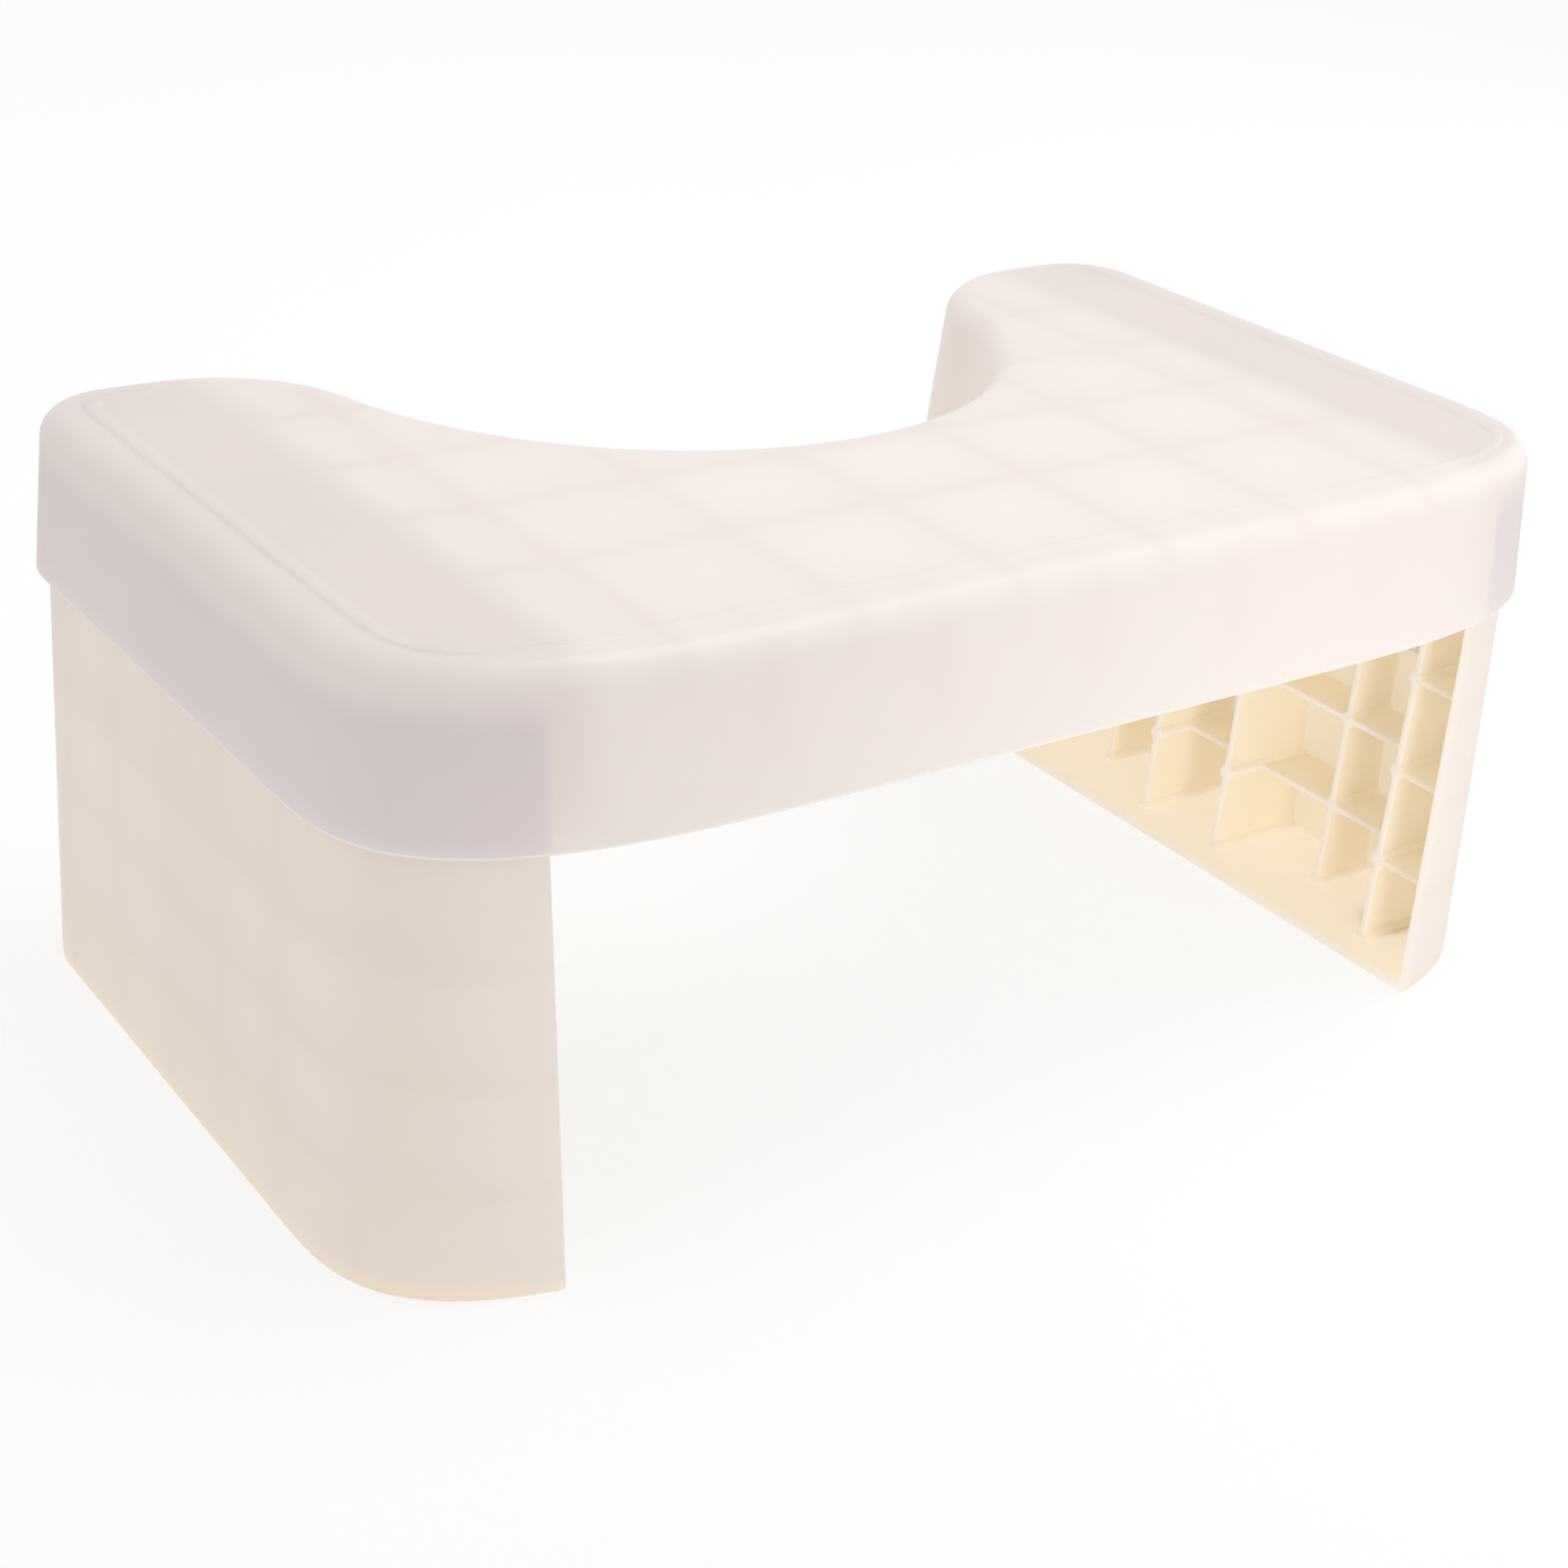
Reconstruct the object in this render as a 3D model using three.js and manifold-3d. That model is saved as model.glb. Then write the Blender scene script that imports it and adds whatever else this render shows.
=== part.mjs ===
// Toilet footstool of moulded plastic, in millimetres, +Z up.
// A top with a skirt and a round cut for the bowl stands on two legs that push up into it from below.
// The origin lies on the floor under the middle. The front faces -Y, and the cut opens towards +Y.
import * as THREE from "three";
import { mergeVertices } from "three/addons/utils/BufferGeometryUtils.js";
import Module from "manifold-3d";

const wasm = await Module();
wasm.setup();

// Whole stool
const STOOL_LENGTH = 420;
const STOOL_DEPTH = 254;
const STOOL_HEIGHT = 180; // floor to the tread

// Outline of the top, at the skirt's lower edge
const FRONT_CORNER_LENGTH = 132; // along the front
const FRONT_CORNER_DEPTH = 69.5; // along the side
const FRONT_CORNER_POWER = 3.16; // 2 is an ellipse, more is squarer
const REAR_CORNER_RADIUS = 29;
const ARM_END_WIDTH = 16.9; // straight part of an arm's end, from the rear corner to the turn into the cut
const CUT_RADIUS_SHARE = 0.27143; // of the length
const FRONT_BAND_DEPTH = 123.8; // front edge to the bottom of the cut

// Top
const SKIRT_HEIGHT = 49;
const SKIRT_DRAFT = 3.3; // the skirt leans in by this much on its way up
const SKIRT_WALL = 2.8;
const PLATE_THICKNESS = 3;
const TREAD_EDGE_RADIUS = 8.6;
const BEAD_INSET = 19; // raised line on the tread, from the skirt's lower outline
const BEAD_WIDTH = 3.2;
const BEAD_HEIGHT = 0.6;

// Ribs under the tread
const TOP_RIB_THICKNESS = 1.8;
const TOP_RIB_HEIGHT = 14;
const TOP_RIB_PITCH = 51.4; // between ribs that run front to back
const TOP_RIB_ROW_PITCH = 43.7; // between ribs that run left to right
const TOP_RIB_FIRST_ROW = 67; // from the front edge
const TOP_RIB_ROWS = 4;
const GUSSET_DEPTH = 18; // small ribs that stiffen the front skirt
const GUSSET_HEIGHT = 32;

// Sockets for the legs
const SOCKET_DEPTH = 55; // outer face of the skirt to the socket's inner wall
const SOCKET_WALL = 2.4;
const SOCKET_LIFT = 5; // the socket wall stops this far above the skirt's lower edge
const LEG_CLEARANCE = 0.85; // between a leg and what guides it
const GUIDE_THICKNESS = 2.4;

// Legs
const LEG_WALL = 2.6;
const LEG_FOOT_DEPTH = 51.8; // outer face to free edge, at the floor
const LEG_SEAM_DEPTH = 46.5; // the same at the skirt's lower edge
const FOOT_PLATE = 3;
const LEG_RIB_THICKNESS = 2.2;
const LEG_RIB_PITCH = 36.75; // between upright ribs
const LEG_RIB_PAIRS = 3;
const SHELF_PITCH = 32.5; // between level ribs
const SHELF_ROWS = 5;
const DEEP_RIB_RECESS = 10.3; // free edge of the leg to the free edge of a deep rib
const SHALLOW_RIB_RECESS = 25.4;
const BOSS_RADIUS = 2.8; // round bosses where ribs cross

// Non-slip pads
const PAD_RADIUS = 8;
const PAD_THICKNESS = 1.9;
const PAD_PROUD = 0.6; // how far a pad stands out of the foot
const PAD_CHAMFER = 0.3;
const PAD_FROM_SIDE = 25; // outer face of the leg to the pad's middle
const PAD_FROM_END = 39; // front or rear end of the leg to the pad's middle

// Fits and tools of the construction
const SEAT_GAP = 0.3; // between pieces that rest on each other
const OVERRUN = 6; // how far a cutter passes through
const FUSE = 0.5; // how far a rib sinks into the wall it stands on
const FRONT_CORNER_STEPS = 12;
const REAR_CORNER_STEPS = 6;
const NOSE_STEPS = 8;
const CUT_STEPS = 14; // half of the cut
const EDGE_STEPS = 4;
const BOSS_SIDES = 8;
const PAD_SIDES = 32;

const halfLength = STOOL_LENGTH / 2;
const halfDepth = STOOL_DEPTH / 2;
const seamHeight = STOOL_HEIGHT - SKIRT_HEIGHT;
const legBottom = PAD_PROUD;
const plateUnderside = STOOL_HEIGHT - PLATE_THICKNESS;
const legTop = plateUnderside - SEAT_GAP;
const socketFace = halfLength - SOCKET_DEPTH; // x of the socket wall's face towards the leg
const cutRadius = STOOL_LENGTH * CUT_RADIUS_SHARE;

/** Points of an arc from angle a0 to a1, both ends included. */
function arc(centreX, centreY, radius, a0, a1, steps) {
  const points = [];
  for (let k = 0; k <= steps; k++) {
    const a = a0 + ((a1 - a0) * k) / steps;
    points.push(new THREE.Vector2(centreX + radius * Math.cos(a), centreY + radius * Math.sin(a)));
  }
  return points;
}

/** Front right corner: a superellipse from the front edge to the right side. */
function frontCorner(inset) {
  const points = [];
  for (let k = 0; k <= FRONT_CORNER_STEPS; k++) {
    const a = (Math.PI / 2) * (k / FRONT_CORNER_STEPS);
    const along = Math.sin(a) ** (2 / FRONT_CORNER_POWER);
    const back = Math.cos(a) ** (2 / FRONT_CORNER_POWER);
    points.push(new THREE.Vector2(
      halfLength - FRONT_CORNER_LENGTH + (FRONT_CORNER_LENGTH - inset) * along,
      -halfDepth + FRONT_CORNER_DEPTH - (FRONT_CORNER_DEPTH - inset) * back,
    ));
  }
  return points;
}

/** Arc that turns the right arm's straight end into the cut: it touches both. */
function armNose(cutCentreY) {
  const x = halfLength - REAR_CORNER_RADIUS - ARM_END_WIDTH;
  const beyond = cutCentreY - halfDepth;
  const radius = (x ** 2 + beyond ** 2 - cutRadius ** 2) / (2 * (cutRadius - beyond));
  return { x, y: halfDepth - radius, radius, turn: Math.asin((beyond + radius) / (cutRadius + radius)) };
}

/** Closed outline of the stool, counter-clockwise from above, drawn in by inset on every side. */
function outline(inset) {
  const cutCentreY = -halfDepth + FRONT_BAND_DEPTH + cutRadius;
  const nose = armNose(cutCentreY);
  const rearX = halfLength - REAR_CORNER_RADIUS;
  const rearY = halfDepth - REAR_CORNER_RADIUS;
  const right = [
    ...frontCorner(inset),
    ...arc(rearX, rearY, REAR_CORNER_RADIUS - inset, 0, Math.PI / 2, REAR_CORNER_STEPS),
    ...arc(nose.x, nose.y, nose.radius - inset, Math.PI / 2, Math.PI - nose.turn, NOSE_STEPS),
    ...arc(0, cutCentreY, cutRadius + inset, -nose.turn, -Math.PI / 2, CUT_STEPS).slice(1),
  ];
  const left = right.slice(0, -1).map((p) => new THREE.Vector2(-p.x, p.y)).reverse();
  return [...right, ...left];
}

/** Closed solid through outlines at rising heights; each level is an inset and a height. */
function loft(levels) {
  const rings = levels.map(({ inset }) => outline(inset));
  const count = rings[0].length;
  const positions = rings.flatMap((ring, i) => ring.flatMap((p) => [p.x, p.y, levels[i].z]));
  const indices = [];
  for (let i = 0; i + 1 < rings.length; i++) {
    for (let k = 0; k < count; k++) {
      const a = i * count + k;
      const b = i * count + ((k + 1) % count);
      indices.push(a, b, b + count, a, b + count, a + count);
    }
  }
  const last = (rings.length - 1) * count;
  for (const [a, b, c] of THREE.ShapeUtils.triangulateShape(rings[0], [])) {
    indices.push(c, b, a);
  }
  for (const [a, b, c] of THREE.ShapeUtils.triangulateShape(rings[rings.length - 1], [])) {
    indices.push(last + a, last + b, last + c);
  }
  const geometry = new THREE.BufferGeometry();
  geometry.setAttribute("position", new THREE.Float32BufferAttribute(positions, 3));
  geometry.setIndex(indices);
  return solid(geometry);
}

/** Levels of the skirt's surface, wall and plate in from its outer face: seam, draft, rounded edge. */
function skirtLevels(wall, plate) {
  const levels = [{ inset: wall, z: seamHeight }];
  for (let k = 0; k <= EDGE_STEPS; k++) {
    const a = (Math.PI / 2) * (k / EDGE_STEPS);
    levels.push({
      inset: SKIRT_DRAFT + wall + (TREAD_EDGE_RADIUS - wall) * (1 - Math.cos(a)),
      z: STOOL_HEIGHT - TREAD_EDGE_RADIUS + (TREAD_EDGE_RADIUS - plate) * Math.sin(a),
    });
  }
  return levels;
}

/** A geometry as a solid that can be joined and cut. */
function solid(geometry) {
  geometry.deleteAttribute("normal");
  geometry.deleteAttribute("uv");
  const merged = mergeVertices(geometry);
  return new wasm.Manifold(new wasm.Mesh({
    numProp: 3,
    vertProperties: new Float32Array(merged.attributes.position.array),
    triVerts: new Uint32Array(merged.index.array),
  }));
}

/** Solids joined into one. */
function join(solids) {
  return solids.reduce((whole, piece) => whole.add(piece));
}

/** Box between two corners, given in any order. */
function box(x0, x1, y0, y1, z0, z1) {
  const geometry = new THREE.BoxGeometry(Math.abs(x1 - x0), Math.abs(y1 - y0), Math.abs(z1 - z0));
  geometry.translate((x0 + x1) / 2, (y0 + y1) / 2, (z0 + z1) / 2);
  return solid(geometry);
}

/** Prism over the whole depth of the stool, from an outline in x and z. */
function depthPrism(points) {
  const shape = new THREE.Shape(points.map(([x, z]) => new THREE.Vector2(x, z)));
  const depth = STOOL_DEPTH + 2 * OVERRUN;
  const geometry = new THREE.ExtrudeGeometry(shape, { depth, bevelEnabled: false });
  geometry.rotateX(Math.PI / 2);
  geometry.translate(0, depth / 2, 0);
  return solid(geometry);
}

/** Raised bead along the tread's outline, as levels of a loft. */
function beadLevels() {
  return [
    { inset: BEAD_INSET - BEAD_WIDTH / 2, z: STOOL_HEIGHT },
    { inset: BEAD_INSET - BEAD_WIDTH / 5, z: STOOL_HEIGHT + BEAD_HEIGHT },
    { inset: BEAD_INSET + BEAD_WIDTH / 5, z: STOOL_HEIGHT + BEAD_HEIGHT },
    { inset: BEAD_INSET + BEAD_WIDTH / 2, z: STOOL_HEIGHT },
  ];
}

/** Space under the tread, grown by fuse on every side, and open below. */
function topHollow(fuse) {
  const levels = skirtLevels(SKIRT_WALL - fuse, PLATE_THICKNESS - fuse);
  return loft([{ inset: SKIRT_WALL - fuse, z: seamHeight - OVERRUN }, ...levels]);
}

/** Ribs under the tread between the two sockets, with gussets behind the front skirt. */
function topRibs() {
  const ribs = [];
  const top = plateUnderside + FUSE;
  const reach = socketFace - SOCKET_WALL + FUSE;
  const half = TOP_RIB_THICKNESS / 2;
  for (let x = TOP_RIB_PITCH / 2; x < reach; x += TOP_RIB_PITCH) {
    for (const side of [-1, 1]) {
      ribs.push(box(side * x - half, side * x + half, -halfDepth, halfDepth, plateUnderside - TOP_RIB_HEIGHT, top));
    }
  }
  for (let row = 0; row < TOP_RIB_ROWS; row++) {
    const y = -halfDepth + TOP_RIB_FIRST_ROW + row * TOP_RIB_ROW_PITCH;
    ribs.push(box(-reach, reach, y - half, y + half, plateUnderside - TOP_RIB_HEIGHT, top));
  }
  for (let x = 0; x < reach; x += TOP_RIB_PITCH) {
    for (const place of x > 0 ? [-x, x] : [x]) {
      const back = -halfDepth + SKIRT_DRAFT + SKIRT_WALL + GUSSET_DEPTH;
      ribs.push(box(place - half, place + half, -halfDepth, back, plateUnderside - GUSSET_HEIGHT, top));
    }
  }
  return join(ribs);
}

/** Inner wall of one socket, with the two guides that meet the leg's middle ribs. */
function socket(side) {
  const bottom = seamHeight + SOCKET_LIFT;
  const top = plateUnderside + FUSE;
  const face = side * socketFace;
  const tip = side * guideTip();
  const wall = box(face - side * SOCKET_WALL, face, -halfDepth, halfDepth, bottom, top);
  const guides = [-1, 1].map((end) => {
    const y = (end * LEG_RIB_PITCH) / 2;
    return box(face - side * FUSE, tip, y - GUIDE_THICKNESS / 2, y + GUIDE_THICKNESS / 2, bottom, top);
  });
  return join([wall, ...guides]);
}

/** How far out the guides in a socket reach, just short of the leg's deep ribs. */
function guideTip() {
  return halfLength - LEG_SEAM_DEPTH + DEEP_RIB_RECESS - LEG_CLEARANCE;
}

function stoolTop() {
  const shell = loft([...skirtLevels(0, 0), ...beadLevels()]).subtract(topHollow(0));
  const inside = join([topRibs(), socket(-1), socket(1)]).intersect(topHollow(FUSE));
  return shell.add(inside);
}

/** x of a leg's free edge at height z, on the right side. */
function legEdge(z) {
  const rise = (z - legBottom) / (seamHeight - legBottom);
  return halfLength - LEG_FOOT_DEPTH + (LEG_FOOT_DEPTH - LEG_SEAM_DEPTH) * rise;
}

/** Everything outward of a leg's sloping free edge, drawn back by recess. */
function behindLegEdge(side, recess) {
  const low = legBottom - OVERRUN;
  const high = legTop + OVERRUN;
  const outer = side * (halfLength + OVERRUN);
  return depthPrism([
    [side * (legEdge(low) + recess), low],
    [outer, low],
    [outer, high],
    [side * (legEdge(high) + recess), high],
  ]);
}

/** Closed solid of a leg's outer form, over the whole outline: straight to the seam, then inside the skirt. */
function legForm() {
  const inSocket = skirtLevels(SKIRT_WALL + LEG_CLEARANCE, STOOL_HEIGHT - legTop);
  return loft([{ inset: 0, z: legBottom }, ...inSocket]);
}

/** Space inside a leg's walls, between foot plate and head, grown by fuse on every side. */
function legHollow(fuse) {
  const wall = LEG_WALL - fuse;
  const inSocket = skirtLevels(SKIRT_WALL + LEG_CLEARANCE + wall, STOOL_HEIGHT - legTop + wall);
  return loft([{ inset: wall, z: legBottom + FOOT_PLATE - fuse }, ...inSocket]);
}

/** Heights of the level ribs. */
function shelfHeights() {
  return Array.from({ length: SHELF_ROWS }, (_, k) => legBottom + (k + 1) * SHELF_PITCH);
}

/** Places of the upright ribs from front to back; every second one is shallow. */
function uprightRibs() {
  return Array.from({ length: 2 * LEG_RIB_PAIRS }, (_, k) => {
    const place = k - LEG_RIB_PAIRS + 1 / 2;
    const ring = Math.floor(Math.abs(place));
    return { y: place * LEG_RIB_PITCH, recess: ring % 2 === 1 ? SHALLOW_RIB_RECESS : DEEP_RIB_RECESS };
  });
}

/** Ribs and bosses inside one leg. */
function legRibs(side) {
  const half = LEG_RIB_THICKNESS / 2;
  const outer = side * halfLength;
  const endCell = (LEG_RIB_PAIRS - 1 / 2) * LEG_RIB_PITCH;
  const shelves = shelfHeights();
  const deep = [];
  const shallow = [];
  for (const z of shelves) {
    shallow.push(box(0, outer, -halfDepth, halfDepth, z - half, z + half));
    for (const end of [-1, 1]) {
      deep.push(box(0, outer, end * endCell, end * halfDepth, z - half, z + half));
    }
  }
  for (const { y, recess } of uprightRibs()) {
    const group = recess === DEEP_RIB_RECESS ? deep : shallow;
    group.push(box(0, outer, y - half, y + half, legBottom, legTop));
    for (const z of [legBottom + FOOT_PLATE, ...shelves]) {
      const boss = new THREE.CylinderGeometry(BOSS_RADIUS, BOSS_RADIUS, halfLength, BOSS_SIDES);
      boss.rotateZ(Math.PI / 2);
      boss.translate(outer / 2, y, z);
      group.push(solid(boss));
    }
  }
  const kept = join([
    join(deep).intersect(behindLegEdge(side, DEEP_RIB_RECESS)),
    join(shallow).intersect(behindLegEdge(side, SHALLOW_RIB_RECESS)),
  ]);
  return kept.intersect(legHollow(FUSE));
}

/** Notches in a leg's head that let it pass the guides in the socket. */
function headNotches(side) {
  const half = GUIDE_THICKNESS / 2 + LEG_CLEARANCE;
  const tip = side * (guideTip() + LEG_CLEARANCE / 2);
  return join([-1, 1].map((end) => {
    const y = (end * LEG_RIB_PITCH) / 2;
    return box(0, tip, y - half, y + half, legTop - LEG_WALL - FUSE, legTop + OVERRUN);
  }));
}

/** Middle of one pad in plan. */
function padPlace(side, end) {
  return [side * (halfLength - PAD_FROM_SIDE), end * (halfDepth - PAD_FROM_END)];
}

function leg(side) {
  const headStart = side * (socketFace + LEG_CLEARANCE);
  const outer = side * (halfLength + OVERRUN);
  const head = box(headStart, outer, -halfDepth, halfDepth, legTop - LEG_WALL, legTop + OVERRUN);
  const form = legForm().intersect(behindLegEdge(side, 0).add(head));
  const shell = form.subtract(legHollow(0)).subtract(headNotches(side));
  const recesses = [-1, 1].map((end) => {
    const depth = PAD_THICKNESS - PAD_PROUD + SEAT_GAP;
    const radius = PAD_RADIUS + SEAT_GAP;
    const cutter = new THREE.CylinderGeometry(radius, radius, depth + OVERRUN, PAD_SIDES);
    cutter.rotateX(Math.PI / 2);
    cutter.translate(...padPlace(side, end), legBottom + depth - (depth + OVERRUN) / 2);
    return solid(cutter);
  });
  return shell.add(legRibs(side)).subtract(join(recesses));
}

/** Round non-slip pad, seated in its recess. */
function pad() {
  const profile = [
    new THREE.Vector2(0, 0),
    new THREE.Vector2(PAD_RADIUS - PAD_CHAMFER, 0),
    new THREE.Vector2(PAD_RADIUS, PAD_CHAMFER),
    new THREE.Vector2(PAD_RADIUS, PAD_THICKNESS),
    new THREE.Vector2(0, PAD_THICKNESS),
  ];
  const geometry = new THREE.LatheGeometry(profile, PAD_SIDES);
  geometry.rotateX(Math.PI / 2);
  return solid(geometry);
}

/** A named mesh of a solid, in a material of its own. */
function mesh(name, body, colour, roughness) {
  const { vertProperties, triVerts } = body.getMesh();
  const geometry = new THREE.BufferGeometry();
  geometry.setAttribute("position", new THREE.BufferAttribute(new Float32Array(vertProperties), 3));
  geometry.setIndex(new THREE.BufferAttribute(new Uint32Array(triVerts), 1));
  geometry.computeVertexNormals();
  const material = new THREE.MeshStandardMaterial({ color: colour, roughness, metalness: 0 });
  const piece = new THREE.Mesh(geometry, material);
  piece.name = name;
  return piece;
}

const IVORY = 0xf3eae6;
const IVORY_LEG = 0xe9e0da;
const PAD_WHITE = 0xdedad2;

const stool = new THREE.Group();
stool.name = "footstool";
stool.add(mesh("stool_top", stoolTop(), IVORY, 0.42));
for (const [side, sideName] of [[-1, "left"], [1, "right"]]) {
  const group = new THREE.Group();
  group.name = `${sideName}_leg_group`;
  group.add(mesh(`${sideName}_leg`, leg(side), IVORY_LEG, 0.45));
  for (const [end, endName] of [[-1, "front"], [1, "rear"]]) {
    const foot = mesh(`${sideName}_${endName}_pad`, pad(), PAD_WHITE, 0.85);
    foot.position.set(...padPlace(side, end), 0);
    group.add(foot);
  }
  stool.add(group);
}

export default stool;
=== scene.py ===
"""Toilet footstool of moulded ivory polypropylene: its looks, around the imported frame.

Lengths are in metres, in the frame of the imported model: +Z up, the front faces -Y and the round cut for the bowl
opens towards +Y. Each moulding is lofted from the stool's outline, gets its ribs, and rides on its own body.
"""

import logging
import math
from collections.abc import Callable, Sequence
from dataclasses import dataclass, field
from enum import Enum
from typing import Any

import bmesh
import bpy
from mathutils import Matrix, Vector
from mathutils.bvhtree import BVHTree


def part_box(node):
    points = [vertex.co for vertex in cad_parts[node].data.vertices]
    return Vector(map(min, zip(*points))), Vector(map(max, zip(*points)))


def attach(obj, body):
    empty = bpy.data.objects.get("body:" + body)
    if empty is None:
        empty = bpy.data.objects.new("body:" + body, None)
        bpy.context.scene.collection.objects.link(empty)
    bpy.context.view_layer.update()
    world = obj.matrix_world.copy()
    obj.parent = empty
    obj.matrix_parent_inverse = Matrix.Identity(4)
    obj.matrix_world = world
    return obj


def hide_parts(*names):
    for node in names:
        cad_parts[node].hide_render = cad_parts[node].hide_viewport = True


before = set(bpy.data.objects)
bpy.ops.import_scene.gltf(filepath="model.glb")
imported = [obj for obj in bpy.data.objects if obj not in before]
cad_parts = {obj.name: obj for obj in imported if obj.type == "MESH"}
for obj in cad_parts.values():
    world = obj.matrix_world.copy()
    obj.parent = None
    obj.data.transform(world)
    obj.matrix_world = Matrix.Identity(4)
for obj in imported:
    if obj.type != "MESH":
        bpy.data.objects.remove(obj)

LOG = logging.getLogger("footstool")
MM = 0.001
WELD = 0.002 * MM  # vertices that are closer than this are one
SKIN = 0.7 * MM  # a face that lies deeper than this is behind the outer skin
BEYOND = 6 * MM  # how far a cutting solid reaches past what it cuts
SHARP = math.radians(60)  # only edges that turn by more are rounded
SMOOTH = {"interpolation_type": "SMOOTHSTEP"}
WHITE = (1.0, 1.0, 1.0, 1.0)

Point = tuple[float, float]
Level = tuple[float, float]
Place = tuple[float, float, float]
Material = bpy.types.Material
Piece = bpy.types.Object
Socket = bpy.types.NodeSocket
Solid = bmesh.types.BMesh
Tree = bpy.types.NodeTree


class Half(Enum):
    """One half of the stool."""

    @property
    def word(self) -> str:
        """The half's name in the names of pieces."""
        return self.name.lower()


class Side(Half):
    """The two ends of the stool, with the sign of their x."""

    LEFT = -1
    RIGHT = 1


class End(Half):
    """Front and rear, with the sign of their y."""

    FRONT = -1
    REAR = 1


class Join(Enum):
    """How one solid is combined with another."""

    ADD = "UNION"
    CUT = "DIFFERENCE"
    KEEP = "INTERSECT"


def srgb(code: str) -> tuple[float, float, float, float]:
    """Turn an sRGB hex colour into the linear values that shaders take.

    Args:
        code: Six hex digits with a leading hash.

    Returns:
        Linear red, green, blue and an alpha of one.
    """
    channels = [int(code[k : k + 2], 16) / 255 for k in (1, 3, 5)]
    linear = [c / 12.92 if c <= 0.04045 else ((c + 0.055) / 1.055) ** 2.4 for c in channels]
    return (*linear, 1.0)


def add_node(
    tree: Tree, kind: str, inputs: dict[str, Any] | Sequence[Any] = (), out: str = "", **settings: Any
) -> Any:
    """Add a shader node, set it up and link it.

    Args:
        tree: The node tree that gets the node.
        kind: The node's type without its prefix, such as Bump.
        inputs: Values, or the output sockets that feed them, by the inputs' names or in the inputs' order.
        out: Name of the output that is wanted, or empty for the first one.
        **settings: Properties of the node itself.

    Returns:
        The output socket, or None from a node that has no output.
    """
    node = tree.nodes.new(f"ShaderNode{kind}")
    for key, value in settings.items():
        setattr(node, key, value)
    sockets = [socket for socket in node.inputs if socket.enabled]
    names = [socket.name for socket in sockets]
    for key, value in inputs.items() if isinstance(inputs, dict) else enumerate(inputs):
        socket = sockets[names.index(key) if isinstance(key, str) else key]
        if isinstance(value, Socket):
            tree.links.new(value, socket)
        else:
            socket.default_value = value
    return next((socket for socket in node.outputs if socket.enabled and out in ("", socket.name)), None)


def new_material(name: str) -> Material:
    """Add a material with an empty node tree.

    Args:
        name: The material's name.

    Returns:
        The material.
    """
    material = bpy.data.materials.new(name)
    material.use_nodes = True
    material.node_tree.nodes.clear()
    return material


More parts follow.
